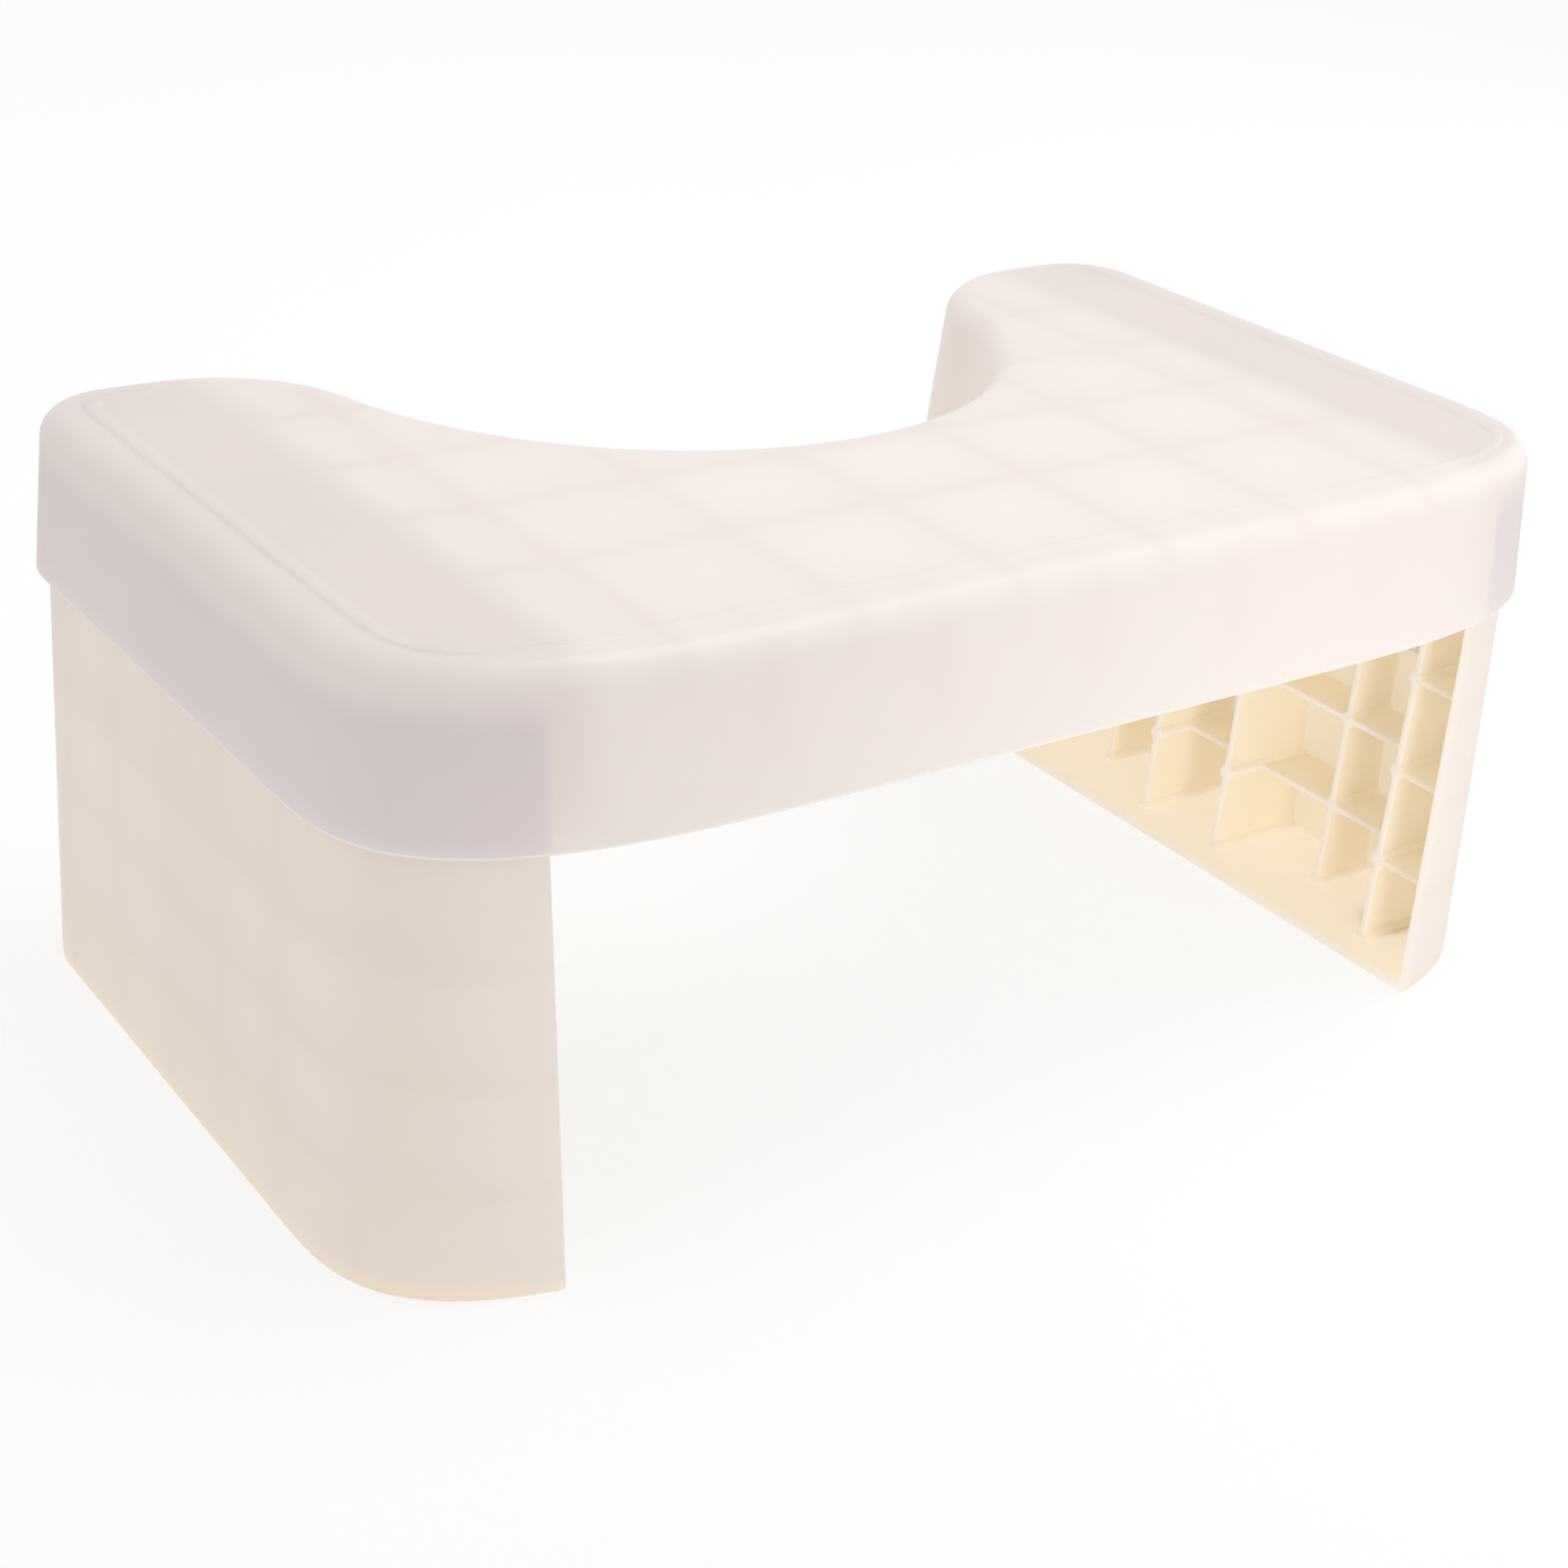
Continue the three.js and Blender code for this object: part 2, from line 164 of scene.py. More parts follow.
@dataclass(frozen=True)
class RibShadows:
    """Painted faint shade lines on an outer face where a rib stands behind the thin milky wall."""

    width: float = 1.3 * MM
    blur: float = 5.0 * MM
    tread_fade: tuple[float, float] = (6 * MM, 2 * MM)
    rib_fade: float = 2 * MM
    socket_fade: float = 4 * MM
    skirt_fade: tuple[float, float] = (-100 * MM, -110 * MM)
    skirt_share: float = 0.3
    leg_fade: tuple[float, float] = (188 * MM, 198 * MM)

    def lines(self, tree: Tree, place: Any, start: float, pitch: float) -> Socket:
        """Lines at equal distances along one coordinate.

        Args:
            tree: The material's node tree.
            place: The coordinate.
            start: Where one of the lines lies.
            pitch: Distance of the lines.

        Returns:
            A value that is one on a line and zero beside it.
        """
        shifted = add_node(tree, "Math", (place, start), operation="SUBTRACT")
        distance = add_node(tree, "Math", (shifted, pitch / 2), operation="PINGPONG")
        return add_node(tree, "MapRange", (distance, self.blur, self.width / 2), **SMOOTH)

    def on_top(self, tree: Tree, axes: Sequence[Socket]) -> Socket:
        """Painted shade lines of the ribs under the tread and behind the front skirt.

        Args:
            tree: The material's node tree.
            axes: The object's x, y and z.

        Returns:
            The strength of the lines.
        """
        top = StoolTop()
        x, y, z = axes
        ribs = self.lines(tree, x, top.rib_pitch / 2, top.rib_pitch)
        gussets = self.lines(tree, x, 0.0, top.rib_pitch)
        first = top.first_row - top.form.outline.depth / 2
        rows = self.lines(tree, y, first, top.row_pitch)
        behind = add_node(tree, "MapRange", (y, first - self.blur, first - self.blur + MM), **SMOOTH)
        rows = add_node(tree, "Math", (rows, behind), operation="MULTIPLY")
        heights = [top.form.height - fade for fade in self.tread_fade]
        on_tread = add_node(tree, "MapRange", (z, *heights), **SMOOTH)
        tread = add_node(tree, "Math", (ribs, rows), operation="MAXIMUM")
        tread = add_node(tree, "Math", (tread, on_tread), operation="MULTIPLY")
        hidden = []
        for lines, height in ((ribs, top.rib_height), (gussets, top.gusset_height)):
            low = top.underside - height
            above = add_node(tree, "MapRange", (z, low - self.rib_fade, low + self.rib_fade), **SMOOTH)
            hidden.append(add_node(tree, "Math", (lines, above), operation="MULTIPLY"))
        skirt = add_node(tree, "Math", hidden, operation="MAXIMUM")
        front = add_node(tree, "MapRange", (y, *self.skirt_fade, 0.0, self.skirt_share), **SMOOTH)
        skirt = add_node(tree, "Math", (skirt, front), operation="MULTIPLY")
        below = add_node(tree, "Math", (1.0, on_tread), operation="SUBTRACT")
        skirt = add_node(tree, "Math", (skirt, below), operation="MULTIPLY")
        both = add_node(tree, "Math", (tread, skirt), operation="ADD")
        reach = add_node(tree, "Math", (x,), operation="ABSOLUTE")
        between = add_node(tree, "MapRange", (reach, top.socket_face, top.socket_face - self.socket_fade), **SMOOTH)
        return add_node(tree, "Math", (both, between), operation="MULTIPLY")

    def on_leg(self, tree: Tree, axes: Sequence[Socket]) -> Socket:
        """Painted shade lines of the upright and the level ribs behind a leg's outer wall.

        Args:
            tree: The material's node tree.
            axes: The object's x, y and z.

        Returns:
            The strength of the lines.
        """
        leg = StoolLeg()
        x, y, z = axes
        uprights = self.lines(tree, y, leg.rib_pitch / 2, leg.rib_pitch)
        reach = add_node(tree, "Math", (x,), operation="ABSOLUTE")
        on_wall = add_node(tree, "MapRange", (reach, *self.leg_fade), **SMOOTH)
        uprights = add_node(tree, "Math", (uprights, on_wall), operation="MULTIPLY")
        levels = self.lines(tree, z, leg.bottom, leg.shelf_pitch)
        return add_node(tree, "Math", (uprights, levels), operation="MAXIMUM")


@dataclass(frozen=True)
class MouldedPolypropylene:
    """Satin moulded polypropylene: thin milky walls that pass some light, so that ribs show faintly through, with
    painted light and shade in its colour.

    The faces of a piece carry two values: inner, which is one behind the outer skin, and edge, which is one on the
    rounded free edges. The inner faces get a warm cream, a painted glow of light that passes the walls and bounces
    inside. The free edges, where the wall is seen end on, are painted paler as a painted highlight. Where something
    stands close behind the wall, a painted shade makes the outer skin darker and bluer: the field for this shade
    holds two pairs that say from where to where it fades in, along x and down z. The rib lines are painted shade as
    well.
    """

    name: str
    shadows: Callable[..., Socket]
    colour: str
    shade: str
    # Painted light and shade: inner is a painted warm glow, edge a painted highlight, line a painted rib shadow.
    inner: str = "#FFF8E3"
    edge: str = "#FFFCFB"
    line: str = "#F2EEEC"
    through: str = "#FFFAF7"
    share_through: float = 0.28
    share_below: float = 0.28
    sole_height: float = 5.0 * MM
    sole_share: float = 0.8
    line_share: float = 0.3
    backing_shade: tuple[float, float, float, float] = (0.0, 0.0, 0.0, 0.0)
    backing_shade_tint: str = "#F3F4FA"
    backing_shade_slant: float = 0.03
    roughness: float = 0.40
    roughness_spread: float = 0.05
    cloud: float = 90 * MM
    patch: float = 35 * MM
    grain: float = 0.9 * MM
    grain_depth: float = 0.010 * MM

    def tint(self, tree: Tree, place: Socket) -> Socket:
        """The colour of the plastic from place to place, with its painted light and shade.

        Args:
            tree: The material's node tree.
            place: The object's coordinates.

        Returns:
            The colour's socket.
        """
        # Clouds where the melt flowed, a hand's breadth wide and barely there.
        flow = add_node(tree, "TexNoise", {"Vector": place, "Scale": 1 / self.cloud, "Detail": 3.0})
        colour = add_node(tree, "Mix", (flow, srgb(self.shade), srgb(self.colour)), data_type="RGBA")
        inner, edge = (add_node(tree, "Attribute", out="Fac", attribute_name=word) for word in ("inner", "edge"))
        axes = [add_node(tree, "SeparateXYZ", (place,), out=axis) for axis in "XYZ"]
        x, y, z = axes
        # Painted shade lines where ribs stand behind the wall, on the outer skin only.
        outer = add_node(tree, "Math", (1.0, inner), operation="SUBTRACT")
        lines = add_node(tree, "Math", (self.shadows(tree, axes), outer), operation="MULTIPLY")
        lines = add_node(tree, "Math", (lines, self.line_share), operation="MULTIPLY")
        # Painted shade, darker and bluer, on the outer skin where something stands close behind the wall.
        across_start, across_end, low, high = self.backing_shade
        reach = add_node(tree, "Math", (x,), operation="ABSOLUTE")
        reach = add_node(tree, "Math", (y, self.backing_shade_slant, reach), operation="MULTIPLY_ADD")
        across = add_node(tree, "MapRange", (reach, across_start, across_end), **SMOOTH)
        down = add_node(tree, "MapRange", (z, high, low), **SMOOTH)
        backing_shade = add_node(tree, "Math", (across, down), operation="MULTIPLY")
        backing_shade = add_node(tree, "Math", (backing_shade, outer), operation="MULTIPLY")
        # Mix in the painted rib shadows, the painted backing shade, the painted glow of the inner faces and the
        # painted highlight of the free edges.
        for factor, blend, other in (
            (lines, "MULTIPLY", self.line),
            (backing_shade, "MULTIPLY", self.backing_shade_tint),
            (inner, "MIX", self.inner),
            (edge, "MIX", self.edge),
        ):
            colour = add_node(tree, "Mix", (factor, colour, srgb(other)), data_type="RGBA", blend_type=blend)
        return colour

    def build(self) -> Material:
        """Make the material.

        Returns:
            A satin plastic with flow mottling, a fine spark-eroded grain and some light that passes its walls.
        """
        material = new_material(self.name)
        tree = material.node_tree
        place = add_node(tree, "TexCoord", out="Object")
        # Patches where the mould is a little more polished.
        polish = add_node(tree, "TexNoise", {"Vector": place, "Scale": 1 / self.patch, "Detail": 4.0})
        ends = {"To Min": self.roughness - self.roughness_spread, "To Max": self.roughness + self.roughness_spread}
        gloss = add_node(tree, "MapRange", {"Value": polish, **ends})
        # Spark-eroded grain of the mould. The real grain is about 0.2 mm, drawn coarser so that it shows.
        grain = add_node(tree, "TexNoise", {"Vector": place, "Scale": 1 / self.grain, "Detail": 2.0})
        bump = add_node(tree, "Bump", {"Height": grain, "Distance": self.grain_depth, "Strength": 0.6})
        parts = {"Base Color": self.tint(tree, place), "Roughness": gloss, "Normal": bump, "IOR": 1.49}
        surface = add_node(tree, "BsdfPrincipled", parts)
        # Light that passes the thin milky wall: more through a sole that stands on the bright table, and all of the
        # light that is inside the wall, which leaves it at the next surface.
        milk = add_node(tree, "BsdfTranslucent", {"Color": srgb(self.through), "Normal": bump})
        height = add_node(tree, "SeparateXYZ", (place,), out="Z")
        ends = (self.sole_height, self.sole_share * self.sole_height, self.share_through, self.share_below)
        sole = add_node(tree, "MapRange", (height, *ends), **SMOOTH)
        inside = add_node(tree, "NewGeometry", out="Backfacing")
        share = add_node(tree, "Math", (inside, sole), operation="MAXIMUM")
        mix = add_node(tree, "MixShader", (share, surface, milk))
        add_node(tree, "OutputMaterial", {"Surface": mix})
        return material


@dataclass(frozen=True)
class SoftRubber:
    """Die-cut soft rubber of the pads: matt, with fine pores that are tinted darker."""

    name: str
    colour: str = "#DEDAD2"
    pores: str = "#C9C3B8"
    pore: float = 0.7 * MM
    pore_depth: float = 0.05 * MM
    pore_share: float = 0.35

    def build(self) -> Material:
        """Make the material.

        Returns:
            A matt Principled material with pores.
        """
        material = new_material(self.name)
        tree = material.node_tree
        place = add_node(tree, "TexCoord", out="Object")
        pores = add_node(tree, "TexVoronoi", {"Vector": place, "Scale": 1 / self.pore})
        dots = add_node(tree, "MapRange", {"Value": pores, "From Max": self.pore_share})
        tint = add_node(tree, "Mix", (dots, srgb(self.pores), srgb(self.colour)), data_type="RGBA")
        bump = add_node(tree, "Bump", {"Height": dots, "Distance": self.pore_depth})
        parts = {"Base Color": tint, "Roughness": 0.85, "Normal": bump, "IOR": 1.52}
        add_node(tree, "OutputMaterial", {"Surface": add_node(tree, "BsdfPrincipled", parts)})
        return material


def as_object(name: str, shape: Solid) -> Piece:
    """Turn a finished bmesh into an object at the origin, with its faces pointing out.

    Args:
        name: The object's name.
        shape: The bmesh, which is freed.

    Returns:
        The new object, linked to the scene.
    """
    bmesh.ops.recalc_face_normals(shape, faces=shape.faces)
    mesh = bpy.data.meshes.new(name)
    shape.to_mesh(mesh)
    shape.free()
    piece = bpy.data.objects.new(name, mesh)
    bpy.context.scene.collection.objects.link(piece)
    return piece


def discard(piece: Piece) -> None:
    """Remove an object and its mesh.

    Args:
        piece: The object.
    """
    mesh = piece.data
    bpy.data.objects.remove(piece)
    bpy.data.meshes.remove(mesh)


def combine(base: Piece, tool: Piece, how: Join) -> Piece:
    """Join, cut or keep one solid with another, and remove the other.

    Args:
        base: The solid that is changed.
        tool: The solid that it is combined with.
        how: The kind of combination.

    Returns:
        The changed solid.
    """
    step = base.modifiers.new(how.name, "BOOLEAN")
    step.operation = how.value
    step.solver = "MANIFOLD"
    step.object = tool
    graph = bpy.context.evaluated_depsgraph_get()
    old = base.data
    base.data = bpy.data.meshes.new_from_object(base.evaluated_get(graph))
    base.data.name = base.name
    base.modifiers.clear()
    bpy.data.meshes.remove(old)
    discard(tool)
    return base


def shade(piece: Piece, crease: float = math.radians(32)) -> None:
    """Shade a piece smooth, with sharp edges where its faces meet at more than the crease angle.

    Args:
        piece: The piece.
        crease: The angle, in radians.
    """
    shape = bmesh.new()
    shape.from_mesh(piece.data)
    bmesh.ops.remove_doubles(shape, verts=shape.verts, dist=WELD)
    bmesh.ops.dissolve_degenerate(shape, edges=shape.edges, dist=WELD)
    for face in shape.faces:
        face.smooth = True
    for edge in shape.edges:
        edge.smooth = len(edge.link_faces) == 2 and edge.calc_face_angle(0.0) < crease
    shape.to_mesh(piece.data)
    shape.free()


def mark_faces(piece: Piece, skin: BVHTree, on_edge: Callable[[Vector, float], bool]) -> None:
    """Note on a piece's faces which lie behind its outer skin and which belong to a free edge.

    Args:
        piece: The piece.
        skin: The outer skin, or the form that the piece was cut from.
        on_edge: Tells whether a place at this depth behind the skin belongs to a free edge.
    """
    inner = piece.data.attributes.new("inner", "FLOAT", "FACE")
    edge = piece.data.attributes.new("edge", "FLOAT", "FACE")
    depths = [skin.find_nearest(vert.co)[3] for vert in piece.data.vertices]
    edges = [on_edge(vert.co, depth) for vert, depth in zip(piece.data.vertices, depths)]
    for face in piece.data.polygons:
        depth = sum(depths[k] for k in face.vertices) / len(face.vertices)
        inner.data[face.index].value = float(depth > SKIN)
        edge.data[face.index].value = float(all(edges[k] for k in face.vertices))


def skin_of(form: Piece) -> BVHTree:
    """A search tree of an object's surface, to measure distances from it.

    Args:
        form: The object.

    Returns:
        The tree.
    """
    shape = bmesh.new()
    shape.from_mesh(form.data)
    bmesh.ops.triangulate(shape, faces=shape.faces)
    tree = BVHTree.FromBMesh(shape)
    shape.free()
    return tree


def dress(piece: Piece, finish: Material, body: str, node: str) -> None:
    """Give a piece its material, let it ride on its body and hide the node of the model that it replaces.

    Args:
        piece: The piece.
        finish: Its material.
        body: The body that it rides on.
        node: The node of the model that it replaces.
    """
    piece.data.materials.clear()
    piece.data.materials.append(finish)
    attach(piece, body)
    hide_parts(node)


def loft(name: str, section: Callable[[float], Sequence[Point]], levels: Sequence[Level]) -> Piece:
    """Extrude a closed section level by level, and close both ends.

    Args:
        name: The object's name.
        section: Gives the section's points for an inset, as many for each.
        levels: An inset and a height for each level.

    Returns:
        The closed solid.
    """
    shape = bmesh.new()
    station = shape.verts.layers.int.new("station")
    first = [shape.verts.new((x, y, levels[0][1])) for x, y in section(levels[0][0])]
    for number, vert in enumerate(first):
        vert[station] = number
    edges = [shape.edges.new((a, b)) for a, b in zip(first, first[1:] + first[:1])]
    bmesh.ops.edgeloop_fill(shape, edges=edges)
    for inset, height in levels[1:]:
        points = section(inset)
        grown = bmesh.ops.extrude_edge_only(shape, edges=edges)["geom"]
        verts = {item for item in grown if isinstance(item, bmesh.types.BMVert)}
        for vert in verts:
            vert.co = (*points[vert[station]], height)
        edges = [e for e in grown if isinstance(e, bmesh.types.BMEdge) and verts.issuperset(e.verts)]
    bmesh.ops.edgeloop_fill(shape, edges=edges)
    shape.verts.layers.int.remove(station)
    return as_object(name, shape)


def block(shape: Solid, low: Sequence[float], high: Sequence[float], rounding: float = 0.0) -> None:
    """Add a box with rounded edges to a bmesh.

    Args:
        shape: The bmesh.
        low: One corner.
        high: The opposite corner.
        rounding: Radius of the edges, or zero for sharp ones.
    """
    corners = [Vector(map(pick, low, high)) for pick in (min, max)]
    place = Matrix.Translation((corners[0] + corners[1]) / 2) @ Matrix.Diagonal((*(corners[1] - corners[0]), 1.0))
    verts = bmesh.ops.create_cube(shape, size=1.0, matrix=place)["verts"]
    round_off(shape, verts, rounding)


def round_off(shape: Solid, verts: Sequence[Any], radius: float, segments: int = 2) -> None:
    """Round the sharp edges between some vertices of a bmesh.

    Args:
        shape: The bmesh.
        verts: The vertices.
        radius: Radius of the rounding, or zero for none.
        segments: Number of steps in it.
    """
    if radius:
        edges = {edge for vert in verts for edge in vert.link_edges if edge.calc_face_angle(0.0) > SHARP}
        settings = {"offset": radius, "segments": segments, "profile": 0.5, "affect": "EDGES", "material": -1}
        bmesh.ops.bevel(shape, geom=list(edges), **settings)


def cylinder(
    shape: Solid, place: Matrix, radius: float, length: float, sides: int, rounding: float = 0.0
) -> Sequence[Any]:
    """Add a cylinder with rounded rims to a bmesh.

    Args:
        shape: The bmesh.
        place: Where its middle is, and how its axis, which is Z, is turned.
        radius: Its radius.
        length: Its length.
        sides: Number of its sides.
        rounding: Radius of the rims, or zero for sharp ones.

    Returns:
        Its vertices before the rounding.
    """
    size = {"radius1": radius, "radius2": radius, "depth": length}
    verts = bmesh.ops.create_cone(shape, cap_ends=True, segments=sides, matrix=place, **size)["verts"]
    round_off(shape, verts, rounding)
    return verts


def plank(shape: Solid, outline: Sequence[Point], low: float, high: float, rounding: float) -> None:
    """Add an upright plank, an outline in x and z that is extruded along y, to a bmesh.

    Args:
        shape: The bmesh.
        outline: Its corners, as x and z.
        low: Lowest y.
        high: Highest y.
        rounding: Radius of the edges, or zero for sharp ones.
    """
    start = [shape.verts.new((x, low, z)) for x, z in outline]
    face = shape.faces.new(start)
    grown = bmesh.ops.extrude_face_region(shape, geom=[face])["geom"]
    end = [item for item in grown if isinstance(item, bmesh.types.BMVert)]
    bmesh.ops.translate(shape, verts=end, vec=(0.0, high - low, 0.0))
    round_off(shape, [*start, *end], rounding)


def quarter(steps: int) -> list[float]:
    """The angles of a quarter turn in some steps, in radians, with both ends."""
    return [math.pi / 2 * k / steps for k in range(steps + 1)]


@dataclass(frozen=True)
class StoolOutline:
    """The stool's outline from above, at the skirt's lower edge."""

    length: float = 420 * MM
    depth: float = 254 * MM
    front_corner_length: float = 132 * MM
    front_corner_depth: float = 69.5 * MM
    front_corner_power: float = 3.16
    line_inset: float = 18.2 * MM
    line_corner_power: float = 4.7
    rear_corner_radius: float = 29 * MM
    arm_end_width: float = 16.9 * MM
    cut_radius: float = 114 * MM
    front_band: float = 123.8 * MM
    front_steps: int = 40
    rear_steps: int = 18
    nose_steps: int = 24
    cut_steps: int = 44

    @property
    def cut_centre(self) -> float:
        """The y of the round cut's centre."""
        return -self.depth / 2 + self.front_band + self.cut_radius

    def arc(self, centre: Point, radius: float, start: float, end: float, steps: int) -> list[Point]:
        """The points of an arc between two angles in radians, with both ends."""
        turns = [start + (end - start) * k / steps for k in range(steps + 1)]
        return [(centre[0] + radius * math.cos(a), centre[1] + radius * math.sin(a)) for a in turns]

    def front_corner(self, inset: float) -> list[Point]:
        """The front right corner, a superellipse from the front edge to the side, squarer the further it is drawn in.

        Args:
            inset: How far it is drawn in.

        Returns:
            The points.
        """
        squarer = (self.line_corner_power - self.front_corner_power) * (inset / self.line_inset) ** 2
        share = 2 / (self.front_corner_power + squarer)
        points = []
        for turn in quarter(self.front_steps):
            along = math.sin(turn) ** share
            back = max(math.cos(turn), 0.0) ** share
            x = self.length / 2 - self.front_corner_length + (self.front_corner_length - inset) * along
            y = -self.depth / 2 + self.front_corner_depth - (self.front_corner_depth - inset) * back
            points.append((x, y))
        return points

    def closed(self, inset: float) -> list[Point]:
        """The whole outline, counter-clockwise from above.

        Args:
            inset: How far it is drawn in on every side.

        Returns:
            The points, from the front edge's right part round to its left part.
        """
        rear = (self.length / 2 - self.rear_corner_radius, self.depth / 2 - self.rear_corner_radius)
        nose_x = rear[0] - self.arm_end_width
        beyond = self.cut_centre - self.depth / 2
        nose = (nose_x**2 + beyond**2 - self.cut_radius**2) / (2 * (self.cut_radius - beyond))
        turn = math.asin((beyond + nose) / (self.cut_radius + nose))
        nose_centre = (nose_x, self.depth / 2 - nose)
        cut = (0.0, self.cut_centre)
        right = [
            *self.front_corner(inset),
            *self.arc(rear, self.rear_corner_radius - inset, 0.0, math.pi / 2, self.rear_steps),
            *self.arc(nose_centre, nose - inset, math.pi / 2, math.pi - turn, self.nose_steps),
            *self.arc(cut, self.cut_radius + inset, -turn, -math.pi / 2, self.cut_steps)[1:],
        ]
        return right + [(-x, y) for x, y in reversed(right[:-1])]


@dataclass(frozen=True)
class SkirtForm:
    """The lofted form of the top, which the legs' heads follow inside it."""

    outline: StoolOutline = field(default_factory=StoolOutline)
    height: float = 180 * MM
    skirt: float = 49 * MM
    draft: float = 3.3 * MM
    wall: float = 2.8 * MM
    plate: float = 3 * MM
    edge_radius: float = 8.6 * MM
    edge_steps: int = 12

    @property
    def seam(self) -> float:
        """Height of the skirt's lower edge."""
        return self.height - self.skirt

    def levels(self, wall: float, plate: float) -> list[Level]:
        """Levels of a surface inside the skirt's outer face, from the seam over the rounded edge to the plate.

        Args:
            wall: How far in the surface lies on the skirt.
            plate: How far down it lies under the tread.

        Returns:
            An inset and a height for each level.
        """
        levels = [(wall, self.seam)]
        for turn in quarter(self.edge_steps):
            inset = self.draft + wall + (self.edge_radius - wall) * (1 - math.cos(turn))
            levels.append((inset, self.height - self.edge_radius + (self.edge_radius - plate) * math.sin(turn)))
        return levels


@dataclass(frozen=True)
class StoolTop:
    """The top: a shell with a skirt, ribs under the tread and a socket wall for each leg."""

    form: SkirtForm = field(default_factory=SkirtForm)
    lip_radius: float = 1.2 * MM
    lip_steps: int = 4
    band_width: float = 3.7 * MM
    band_flank: float = 0.9 * MM
    band_rise: float = 0.36 * MM
    band_steps: int = 4
    band_fade_start: float = 142 * MM
    band_fade_end: float = 178 * MM
    rib: float = 1.8 * MM
    rib_height: float = 14 * MM
    rib_pitch: float = 51.4 * MM
    row_pitch: float = 43.7 * MM
    first_row: float = 67 * MM
    rows: int = 4
    gusset_depth: float = 18 * MM
    gusset_height: float = 32 * MM
    socket_depth: float = 55 * MM
    socket_wall: float = 2.4 * MM
    socket_lift: float = 5 * MM
    guide: float = 2.4 * MM
    guide_spacing: float = 36.75 * MM
    guide_tip: float = 172.95 * MM
    rounding: float = 0.5 * MM
    fuse: float = 0.5 * MM
    lip_reach: float = 1.05

    @property
    def underside(self) -> float:
        """Height of the tread's underside."""
        return self.form.height - self.form.plate

    @property
    def socket_face(self) -> float:
        """The x of the right socket wall's face towards the leg."""
        return self.form.outline.length / 2 - self.socket_depth

    def lip(self) -> list[Level]:
        """Levels of the skirt's rounded lower edge, from its inner to its outer face.

        Returns:
            An inset and a height for each level.
        """
        radius, seam, wall = self.lip_radius, self.form.seam, self.form.wall
        turns = quarter(self.lip_steps)
        inner = [(wall - radius * (1 - math.cos(a)), seam + radius * (1 - math.sin(a))) for a in turns]
        return inner + [(wall - inset, height) for inset, height in reversed(inner)]

    def band(self) -> list[Level]:
        """Levels of the raised band on the tread, with flat land on both sides of it.

        Returns:
            An inset and a height for each level.
        """
        middle = self.form.outline.line_inset
        flank = []
        for k in range(self.band_steps + 1):
            turn = math.pi * k / self.band_steps
            reach = self.band_width / 2 + self.band_flank / 2 * math.cos(turn)
            flank.append((reach, self.form.height + self.band_rise * (1 - math.cos(turn)) / 2))
        outer = [(middle - reach, height) for reach, height in flank]
        inner = [(middle + reach, height) for reach, height in reversed(flank)]
        land = self.band_width / 2 + 2 * self.band_flank
        return [(middle - land, self.form.height), *outer, *inner, (middle + land, self.form.height)]

    def shell(self) -> Piece:
        """The skirt and the tread as one closed shell.

        Returns:
            The shell.
        """
        inner = self.form.levels(self.form.wall, self.form.plate)[1:]
        land = (inner[-1][0] + self.lip_radius, inner[-1][1])
        outer = self.form.levels(0.0, 0.0)[1:]
        band = self.band()
        levels = [land, *reversed(inner), *self.lip(), *outer, *band]
        piece = loft("stool_top_moulding", self.form.outline.closed, levels)
        # The band follows the outer sides and fades out on the arms' ends, so that none runs along the cut.
        stations = len(piece.data.vertices) // len(levels)
        for vert in piece.data.vertices[-stations * len(band) :]:
            reach = math.hypot(vert.co.x, vert.co.y - self.form.outline.cut_centre)
            share = (reach - self.band_fade_start) / (self.band_fade_end - self.band_fade_start)
            vert.co.z = self.form.height + (vert.co.z - self.form.height) * min(max(share, 0.0), 1.0)
        return piece

    def skin(self) -> BVHTree:
        """The outer skin, to measure distances from it.

        Returns:
            A search tree of it.
        """
        form = loft("top_form", self.form.outline.closed, self.form.levels(0.0, 0.0))
        tree = skin_of(form)
        discard(form)
        return tree

    def hollow(self) -> Piece:
        """The space inside the shell, grown a little into its walls, as a closed solid."""
        levels = self.form.levels(self.form.wall - self.fuse, self.form.plate - self.fuse)
        return loft("top_hollow", self.form.outline.closed, [(levels[0][0], levels[0][1] - BEYOND), *levels])

    def long_ribs(self) -> Piece:
        """Ribs from front to back, gussets behind the front skirt and the two socket walls.

        Returns:
            The ribs, as separate closed solids in one object.
        """
        shape = bmesh.new()
        half = self.rib / 2
        rear = self.form.outline.depth / 2
        top = self.underside + self.form.plate
        count = round(self.socket_face // self.rib_pitch)
        back = -rear + self.form.draft + self.form.wall + self.gusset_depth
        low = self.underside - self.rib_height
        for x in ((k + 0.5) * self.rib_pitch for k in range(-count, count)):
            block(shape, (x - half, -rear, low), (x + half, rear, top), self.rounding)
        low = self.underside - self.gusset_height
        for x in (k * self.rib_pitch for k in range(1 - count, count)):
            block(shape, (x - half, -rear, low), (x + half, back, top), self.rounding)
        for side in Side:
            face = side.value * self.socket_face
            inner = face - side.value * self.socket_wall
            block(shape, (inner, -rear, self.form.seam + self.socket_lift), (face, rear, top), self.rounding)
        return as_object("long_ribs", shape)

